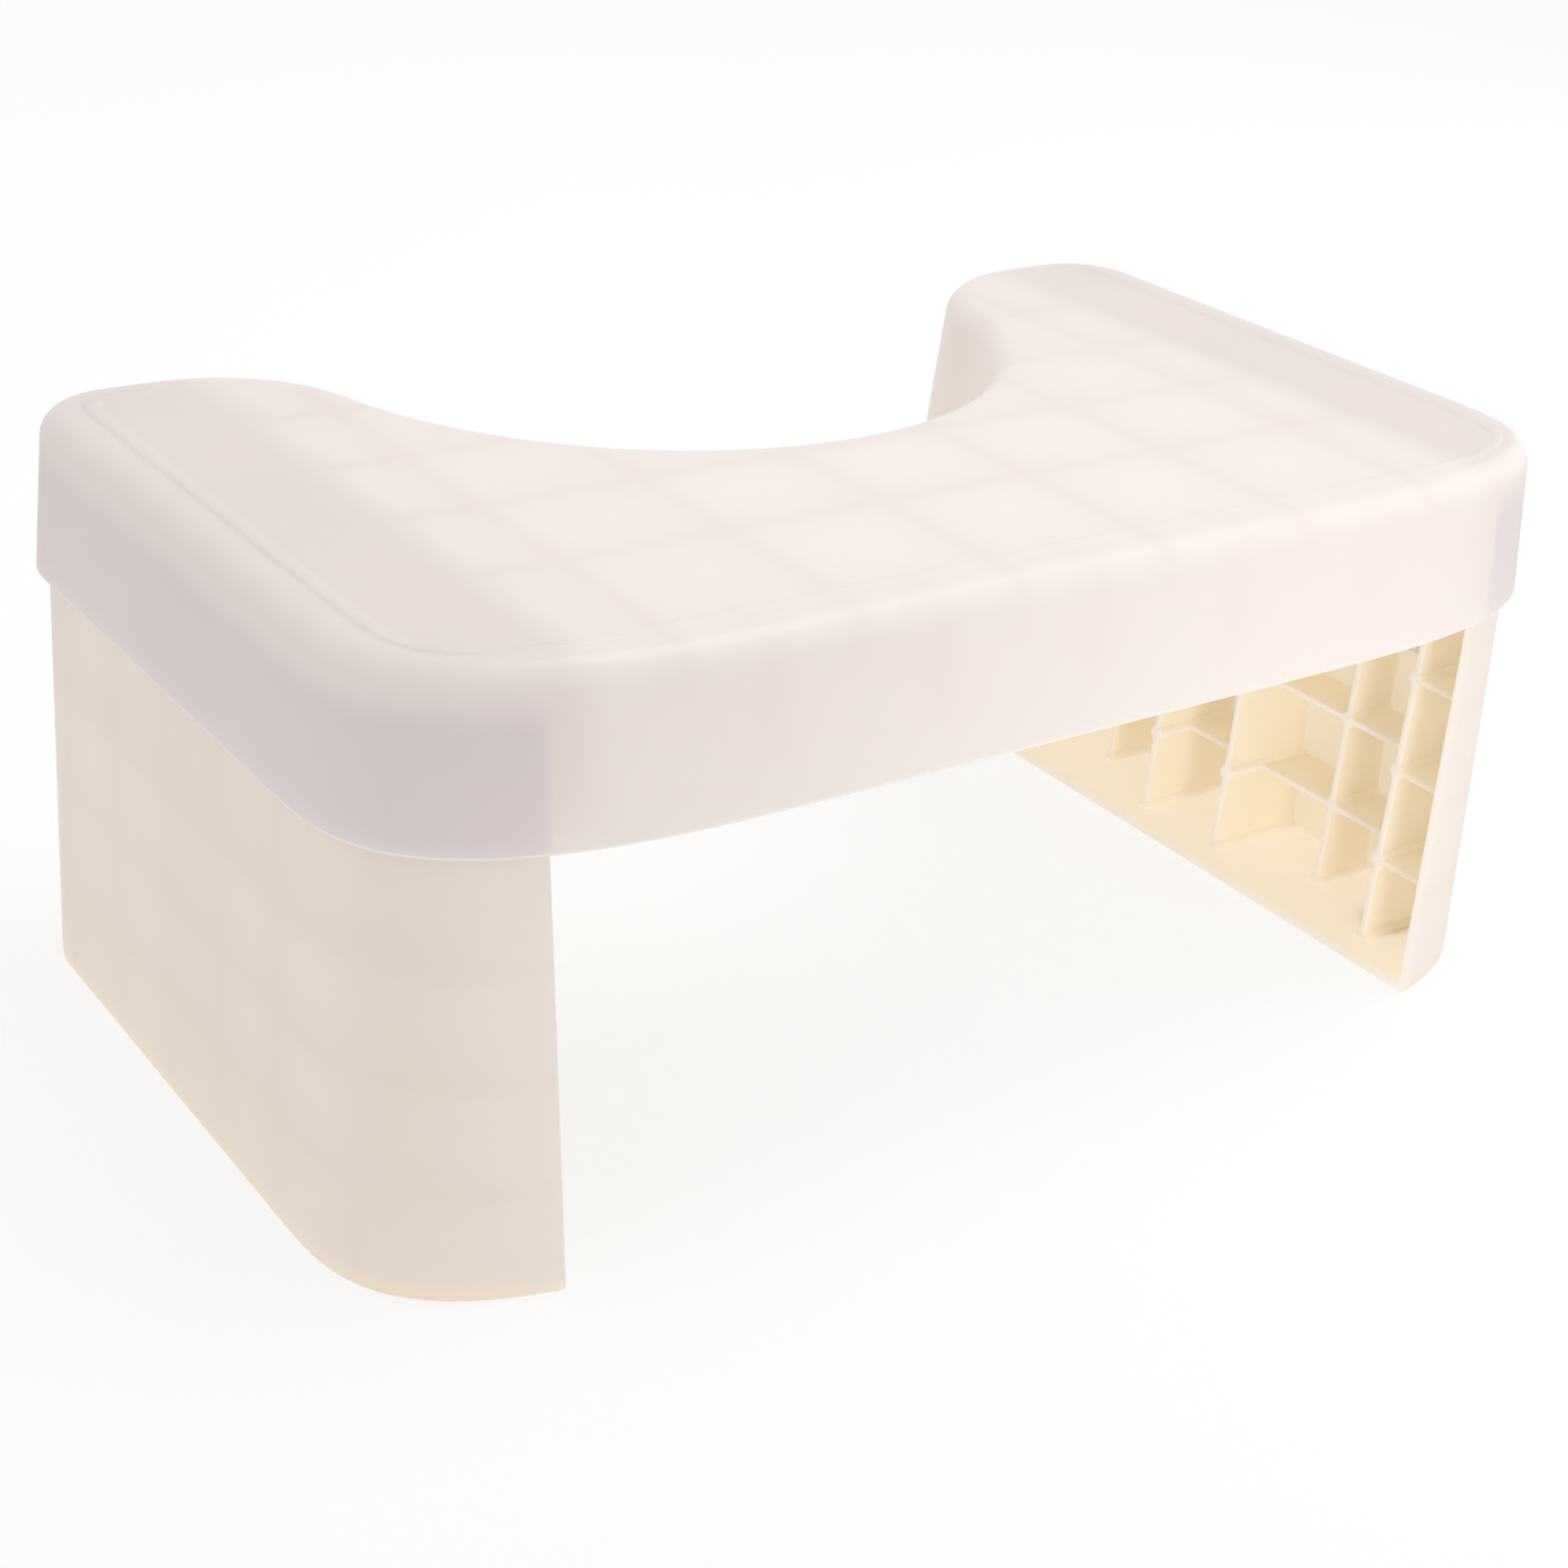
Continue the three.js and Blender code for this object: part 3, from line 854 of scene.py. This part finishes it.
    def cross_ribs(self) -> Piece:
        """Ribs from left to right, and the guides that the legs' heads straddle.

        Returns:
            The ribs, as separate closed solids in one object.
        """
        shape = bmesh.new()
        half = self.rib / 2
        top = self.underside + self.form.plate
        reach = self.socket_face - self.socket_wall / 2
        for row in range(self.rows):
            y = -self.form.outline.depth / 2 + self.first_row + row * self.row_pitch
            low = (-reach, y - half, self.underside - self.rib_height)
            block(shape, low, (reach, y + half, top), self.rounding)
        for side in Side:
            for end in End:
                y = end.value * self.guide_spacing / 2
                low = (side.value * reach, y - self.guide / 2, self.form.seam + self.socket_lift)
                high = (side.value * self.guide_tip, y + self.guide / 2, top)
                block(shape, low, high, self.rounding)
        return as_object("cross_ribs", shape)

    def build(self, finish: Material) -> Piece:
        """Make the top and let it ride on its body.

        Args:
            finish: Its material.

        Returns:
            The finished piece.
        """
        piece = self.shell()
        for ribs in (self.long_ribs(), self.cross_ribs()):
            combine(piece, combine(ribs, self.hollow(), Join.KEEP), Join.ADD)
        shade(piece)
        lip_end = self.form.seam + self.lip_reach * self.lip_radius
        mark_faces(piece, self.skin(), lambda place, depth: place.z < lip_end)
        dress(piece, finish, "top", "stool_top")
        return piece


@dataclass(frozen=True)
class StoolLeg:
    """A leg: a tray that opens inwards, with ribs and bosses, and a flat head that seats under the tread."""

    form: SkirtForm = field(default_factory=SkirtForm)
    bottom: float = 0.6 * MM
    top: float = 176.7 * MM
    wall: float = 2.6 * MM
    clearance: float = 0.85 * MM
    foot_depth: float = 51.8 * MM
    seam_depth: float = 46.5 * MM
    foot_plate: float = 3 * MM
    foot_rounding: float = 1.1 * MM
    inner_fillet: float = 1.6 * MM
    fillet_steps: int = 4
    rib: float = 2.2 * MM
    rib_pitch: float = 36.75 * MM
    shelf_pitch: float = 32.5 * MM
    shelves: int = 5
    deep: float = 10.3 * MM
    shallow: float = 25.4 * MM
    boss_radius: float = 2.8 * MM
    boss_sides: int = 20
    head_start: float = 155.85 * MM
    guide: float = 2.4 * MM
    guide_tip: float = 172.95 * MM
    pad_recess_radius: float = 8.3 * MM
    pad_recess_depth: float = 1.6 * MM
    pad_recess_sides: int = 48
    pad_from_side: float = 25 * MM
    pad_from_end: float = 39 * MM
    rim: float = 0.75 * MM
    rim_steps: int = 3
    rim_crease: float = math.radians(35)
    rim_tolerance: float = 0.01 * MM
    rim_reach: float = 1.05
    rounding: float = 0.45 * MM
    rounding_reach: float = 1.2
    fuse: float = 0.5 * MM

    @property
    def half_length(self) -> float:
        """Half of the stool's length."""
        return self.form.outline.length / 2

    @property
    def half_depth(self) -> float:
        """Half of the stool's depth."""
        return self.form.outline.depth / 2

    def free_edge(self, height: float) -> float:
        """The x of the right leg's free edge, which grows with the height above the floor."""
        rise = (height - self.bottom) / (self.form.seam - self.bottom)
        return self.half_length - self.foot_depth + (self.foot_depth - self.seam_depth) * rise

    def shelf_heights(self) -> list[float]:
        """The heights of the level ribs, from the lowest."""
        return [self.bottom + (k + 1) * self.shelf_pitch for k in range(self.shelves)]

    def uprights(self) -> list[tuple[float, float]]:
        """Places of the upright ribs.

        Returns:
            For each rib its y and how far it stays behind the free edge.
        """
        recesses = (self.deep, self.shallow, self.deep, self.deep, self.shallow, self.deep)
        middle = (len(recesses) - 1) / 2
        return [((k - middle) * self.rib_pitch, recess) for k, recess in enumerate(recesses)]

    def fillet(self, inset: float, height: float, radius: float) -> list[Level]:
        """The levels of a rounded lower edge, from the floor's height up to the wall's inset."""
        turns = quarter(self.fillet_steps)
        return [(inset + radius * (1 - math.sin(a)), height + radius * (1 - math.cos(a))) for a in turns]

    def solid_form(self) -> Piece:
        """The leg's outer form, cut off at its sloping free edge, with the head that reaches further in.

        Returns:
            The closed solid.
        """
        gap = self.form.wall + self.clearance
        foot = self.fillet(0.0, self.bottom, self.foot_rounding)
        levels = [*foot, *self.form.levels(gap, self.form.height - self.top)]
        whole = loft("leg_form", self.form.outline.closed, levels)
        low, high, ledge = self.bottom - BEYOND, self.top + BEYOND, self.top - self.wall
        outer = self.half_length + BEYOND
        cutter = bmesh.new()
        outline = [
            (self.free_edge(low), low),
            (outer, low),
            (outer, high),
            (self.head_start, high),
            (self.head_start, ledge),
            (self.free_edge(ledge), ledge),
        ]
        plank(cutter, outline, -self.half_depth - BEYOND, self.half_depth + BEYOND, 0.0)
        return combine(whole, as_object("leg_cutter", cutter), Join.KEEP)

    def hollow(self, fuse: float) -> Piece:
        """The space inside the leg's walls.

        Args:
            fuse: How far it is grown into them.

        Returns:
            The closed solid.
        """
        wall = self.wall - fuse
        gap = self.form.wall + self.clearance + wall
        fillet = self.fillet(wall, self.bottom + self.foot_plate - fuse, self.inner_fillet)
        levels = [*fillet, *self.form.levels(gap, self.form.height - self.top + wall)]
        return loft("leg_hollow", self.form.outline.closed, levels)

    def round_rim(self, piece: Piece) -> None:
        """Round the edges of the walls' rim in the sloping plane, and of the head's inner edge.

        Args:
            piece: The tray.
        """
        shape = bmesh.new()
        shape.from_mesh(piece.data)
        bmesh.ops.remove_doubles(shape, verts=shape.verts, dist=WELD)

        def on_rim(vert: bmesh.types.BMVert) -> bool:
            near = min(abs(vert.co.x - self.free_edge(vert.co.z)), abs(vert.co.x - self.head_start))
            return near < self.rim_tolerance

        edges = [e for e in shape.edges if e.calc_face_angle(0.0) > self.rim_crease and all(map(on_rim, e.verts))]
        settings = {"profile": 0.5, "affect": "EDGES", "material": -1, "clamp_overlap": True}
        bmesh.ops.bevel(shape, geom=edges, offset=self.rim, segments=self.rim_steps, **settings)
        shape.to_mesh(piece.data)
        shape.free()

    def notches(self) -> Piece:
        """Slots in the head for the socket's guides, and the recesses for the pads.

        Returns:
            The cutters, as separate closed solids in one object.
        """
        shape = bmesh.new()
        for end in End:
            y = end.value * self.rib_pitch / 2
            half = self.guide / 2 + self.clearance
            low = (0.0, y - half, self.top - self.wall - self.fuse)
            block(shape, low, (self.guide_tip + self.clearance / 2, y + half, self.top + BEYOND))
            x, y = self.half_length - self.pad_from_side, end.value * (self.half_depth - self.pad_from_end)
            place = Matrix.Translation((x, y, self.bottom))
            cylinder(shape, place, self.pad_recess_radius, 2 * self.pad_recess_depth, self.pad_recess_sides)
        return as_object("leg_notches", shape)

    def ribs(self) -> list[Piece]:
        """The upright ribs, the level ones, and round bosses where they cross.

        The level ribs are shallow between the outermost upright ones and deep beyond them.

        Returns:
            Three objects, each of separate closed solids.
        """
        shapes = [bmesh.new() for _ in range(3)]
        for y, recess in self.uprights():
            outline = [
                (self.free_edge(self.bottom) + recess, self.bottom),
                (self.half_length, self.bottom),
                (self.half_length, self.top),
                (self.free_edge(self.top) + recess, self.top),
            ]
            plank(shapes[0], outline, y - self.rib / 2, y + self.rib / 2, self.rounding)
        last = self.uprights()[-1][0]
        gap = self.rib / 4
        for z in self.shelf_heights():
            low, high = z - self.rib / 2, z + self.rib / 2
            x = self.free_edge(z)
            far = (self.half_length, last - gap, high)
            block(shapes[1], (x + self.shallow, gap - last, low), far, self.rounding)
            for end in End:
                start, stop = end.value * (last + gap), end.value * self.half_depth
                block(shapes[1], (x + self.deep, start, low), (self.half_length, stop, high), self.rounding)
        turn = Matrix.Rotation(math.pi / 2, 4, "Y")
        for y, recess in self.uprights():
            for z in [self.bottom + self.foot_plate, *self.shelf_heights()]:
                start = self.free_edge(z) + recess
                place = Matrix.Translation(((start + self.half_length) / 2, y, z)) @ turn
                length = self.half_length - start
                cylinder(shapes[2], place, self.boss_radius, length, self.boss_sides, self.rounding)
        return [as_object("leg_ribs", shape) for shape in shapes]

    def moulding(self) -> Piece:
        """The right leg with its ribs.

        Returns:
            The closed solid.
        """
        piece = self.solid_form()
        skin = skin_of(piece)
        combine(piece, self.hollow(0.0), Join.CUT)
        self.round_rim(piece)
        combine(piece, self.notches(), Join.CUT)
        for ribs in self.ribs():
            combine(piece, combine(ribs, self.hollow(self.fuse), Join.KEEP), Join.ADD)
        shade(piece)
        mark_faces(piece, skin, self.on_free_edge)
        return piece

    def on_free_edge(self, place: Vector, depth: float) -> bool:
        """Tell whether a place lies on the free edge of the walls or of a rib.

        Args:
            place: The place.
            depth: How far it lies behind the outer skin.

        Returns:
            True on a free edge.
        """
        behind = place.x - self.free_edge(place.z)
        if depth < self.wall + self.rim:
            return abs(behind) < self.rim_reach * self.rim
        reach = self.rounding_reach * self.rounding
        return any(abs(behind - recess) < reach for recess in (self.deep, self.shallow))

    def build(self, finish: Material) -> list[Piece]:
        """Make both legs, the left one as the mirror image of the right one.

        Args:
            finish: Their material.

        Returns:
            The finished pieces.
        """
        right = self.moulding()
        right.name = right.data.name = "right_leg_moulding"
        shape = bmesh.new()
        shape.from_mesh(right.data)
        bmesh.ops.scale(shape, vec=(-1.0, 1.0, 1.0), verts=shape.verts)
        bmesh.ops.reverse_faces(shape, faces=shape.faces)
        mesh = bpy.data.meshes.new("left_leg_moulding")
        shape.to_mesh(mesh)
        shape.free()
        left = bpy.data.objects.new("left_leg_moulding", mesh)
        bpy.context.scene.collection.objects.link(left)
        for side, piece in ((Side.RIGHT, right), (Side.LEFT, left)):
            dress(piece, finish, f"{side.word}_leg", f"{side.word}_leg")
        return [right, left]


@dataclass(frozen=True)
class FootPad:
    """A round non-slip pad in its recess under a leg."""

    radius: float = 8 * MM
    thickness: float = 1.9 * MM
    sides: int = 64
    rounding: float = 0.35 * MM
    rounding_steps: int = 3
    land: float = 1.6 * MM
    groove: float = 0.9 * MM
    groove_flank: float = 0.2 * MM
    groove_depth: float = 0.25 * MM

    def build(self, side: Side, end: End, finish: Material) -> Piece:
        """Make one pad and let it ride on its leg.

        Args:
            side: The leg's side.
            end: Front or rear of the leg.
            finish: The pad's material.

        Returns:
            The finished piece.
        """
        node = f"{side.word}_{end.word}_pad"
        low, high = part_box(node)
        shape = bmesh.new()
        place = Matrix.Translation(((low.x + high.x) / 2, (low.y + high.y) / 2, (low.z + high.z) / 2))
        verts = cylinder(shape, place, self.radius, self.thickness, self.sides)
        round_off(shape, verts, self.rounding, self.rounding_steps)
        # Two ring grooves in the sole.
        for width in (self.land, self.groove, self.land, self.groove):
            sole = min(shape.faces, key=lambda f: (round(f.calc_center_median().z, 7), -f.calc_area()))
            ring = bmesh.ops.inset_region(shape, faces=[sole], thickness=width, use_even_offset=True)["faces"]
            if width == self.groove:
                sizes = {"thickness": self.groove_flank, "depth": -self.groove_depth}
                bmesh.ops.inset_region(shape, faces=ring, use_even_offset=True, **sizes)
        piece = as_object(f"{node}_rubber", shape)
        shade(piece)
        dress(piece, finish, f"{side.word}_leg", node)
        return piece


@dataclass(frozen=True)
class Studio:
    """A pale floor, soft lamps and the camera at the photograph's place."""

    floor_colour: str = "#A0A0A0"
    floor_roughness: float = 0.5
    table_glow: float = 0.60
    white_lift: float = 0.10
    through_lift: float = 0.22
    floor_size: float = 9.0
    camera_place: Place = (-0.4513, -0.6047, 0.4314)
    camera_right: Place = (0.8230, -0.5648, 0.0608)
    camera_up: Place = (0.2059, 0.3964, 0.8947)
    lens: float = 60.45
    sensor: float = 36.0
    clip: tuple[float, float] = (0.05, 30.0)
    world_strength: float = 0.70
    key_power: float = 4.7
    key_place: Place = (0.38, -0.15, 1.38)
    key_size: float = 0.8
    lamp_aim: Place = (0.0, 0.0, 0.1)
    side_power: float = 3.5
    side_place: Place = (1.5, 0.0, 0.45)
    side_size: float = 1.2
    beam_power: float = 11.0
    beam_place: Place = (-0.32, -0.95, 0.11)
    beam_aim: Place = (0.20, 0.0, 0.08)
    beam_angle: float = math.radians(26)
    beam_radius: float = 0.12
    beam_blend: float = 0.9

    def floor(self) -> None:
        """Lay the floor."""
        shape = bmesh.new()
        bmesh.ops.create_grid(shape, x_segments=1, y_segments=1, size=self.floor_size / 2)
        floor = as_object("floor", shape)
        material = new_material("pale_floor")
        tree = material.node_tree
        surface = add_node(tree, "BsdfDiffuse", {"Color": srgb(self.floor_colour), "Roughness": self.floor_roughness})
        # The table is a lit one. What the camera and reflections see of it is lifted to white around the shadow, and
        # it shines up through the milky walls.
        rays = [add_node(tree, "LightPath", out=f"Is {kind} Ray") for kind in ("Camera", "Glossy", "Transmission")]
        seen = add_node(tree, "Math", rays[:2], operation="MAXIMUM")
        glow = add_node(tree, "Math", (seen, self.white_lift, self.table_glow), operation="MULTIPLY_ADD")
        glow = add_node(tree, "Math", (rays[2], self.through_lift, glow), operation="MULTIPLY_ADD")
        glow = add_node(tree, "Emission", {"Color": WHITE, "Strength": glow})
        add_node(tree, "OutputMaterial", {"Surface": add_node(tree, "AddShader", (surface, glow))})
        material.cycles.emission_sampling = "NONE"
        floor.data.materials.append(material)

    def world(self) -> None:
        """Surround the scene with soft light, and with white where the camera sees past the floor."""
        world = bpy.data.worlds.new("studio")
        bpy.context.scene.world = world
        world.use_nodes = True
        tree = world.node_tree
        tree.nodes.clear()
        light = add_node(tree, "Background", {"Color": WHITE, "Strength": self.world_strength})
        white = add_node(tree, "Background", {"Color": WHITE, "Strength": 1.0})
        rays = [add_node(tree, "LightPath", out=f"Is {kind} Ray") for kind in ("Camera", "Glossy")]
        direct = add_node(tree, "Math", rays, operation="MAXIMUM")
        add_node(tree, "OutputWorld", {"Surface": add_node(tree, "MixShader", (direct, light, white))})

    def hang(self, light: bpy.types.Light, place: Place, aim: Place) -> None:
        """Hang a lamp so that it points at a place.

        Args:
            light: The lamp's light.
            place: Where it hangs.
            aim: The place that it points at.
        """
        lamp = bpy.data.objects.new(light.name, light)
        turn = (Vector(aim) - Vector(place)).to_track_quat("-Z", "Y").to_matrix().to_4x4()
        lamp.matrix_world = Matrix.Translation(place) @ turn
        bpy.context.scene.collection.objects.link(lamp)

    def panel(self, name: str, place: Place, size: float, power: float) -> None:
        """Hang a square soft lamp that points at the stool.

        Args:
            name: The lamp's name.
            place: Where it hangs.
            size: The length of its sides.
            power: Its power, in watts.
        """
        light = bpy.data.lights.new(name, "AREA")
        light.size = size
        light.energy = power
        self.hang(light, place, self.lamp_aim)

    def beam(self) -> None:
        """Send a low soft beam past the left leg to the inside of the right one."""
        light = bpy.data.lights.new("beam", "SPOT")
        light.energy = self.beam_power
        light.spot_size = self.beam_angle
        light.spot_blend = self.beam_blend
        light.shadow_soft_size = self.beam_radius
        self.hang(light, self.beam_place, self.beam_aim)

    def camera(self) -> None:
        """Place the camera where the photograph was taken from."""
        data = bpy.data.cameras.new("camera")
        data.lens = self.lens
        data.sensor_width = self.sensor
        data.clip_start, data.clip_end = self.clip
        camera = bpy.data.objects.new("camera", data)
        right = Vector(self.camera_right).normalized()
        back = right.cross(Vector(self.camera_up)).normalized()
        up = back.cross(right)
        turn = Matrix((right, up, back)).transposed().to_4x4()
        camera.matrix_world = Matrix.Translation(self.camera_place) @ turn
        bpy.context.scene.collection.objects.link(camera)
        bpy.context.scene.camera = camera

    def build(self) -> None:
        """Set up the whole studio."""
        self.floor()
        self.world()
        self.panel("key", self.key_place, self.key_size, self.key_power)
        self.panel("side", self.side_place, self.side_size, self.side_power)
        self.beam()
        self.camera()
        bpy.context.scene.view_settings.view_transform = "Standard"


def main() -> None:
    """Build the stool and its studio, and log the number of faces of each piece."""
    logging.basicConfig(level=logging.INFO, format="%(name)s: %(message)s")
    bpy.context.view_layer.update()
    Studio().build()
    shadows = RibShadows()
    # The colours of the inner faces, free edges, rib lines and backing are painted light and shade.
    ivory = MouldedPolypropylene(
        "ivory_polypropylene",
        shadows.on_top,
        colour="#FBF4F4",
        shade="#F9F1F1",
        inner="#FFFAF4",
        through="#FFF9F3",
        backing_shade=(160 * MM, 163.5 * MM, 162 * MM, 173 * MM),
        line_share=0.2,
        roughness=0.33,
    ).build()
    leg_ivory = MouldedPolypropylene(
        "leg_ivory_polypropylene",
        shadows.on_leg,
        colour="#F9F2F1",
        shade="#F6EFED",
        line_share=0.1,
        share_below=0.57,
        through="#FFF8ED",
    ).build()
    rubber = SoftRubber("pad_rubber").build()
    pieces = [StoolTop().build(ivory)]
    LOG.info("top done")
    pieces += StoolLeg().build(leg_ivory)
    LOG.info("legs done")
    pieces += [FootPad().build(side, end, rubber) for side in Side for end in End]
    for piece in pieces:
        LOG.info("%s: %d faces", piece.name, len(piece.data.polygons))


if __name__ == "__main__":
    main()
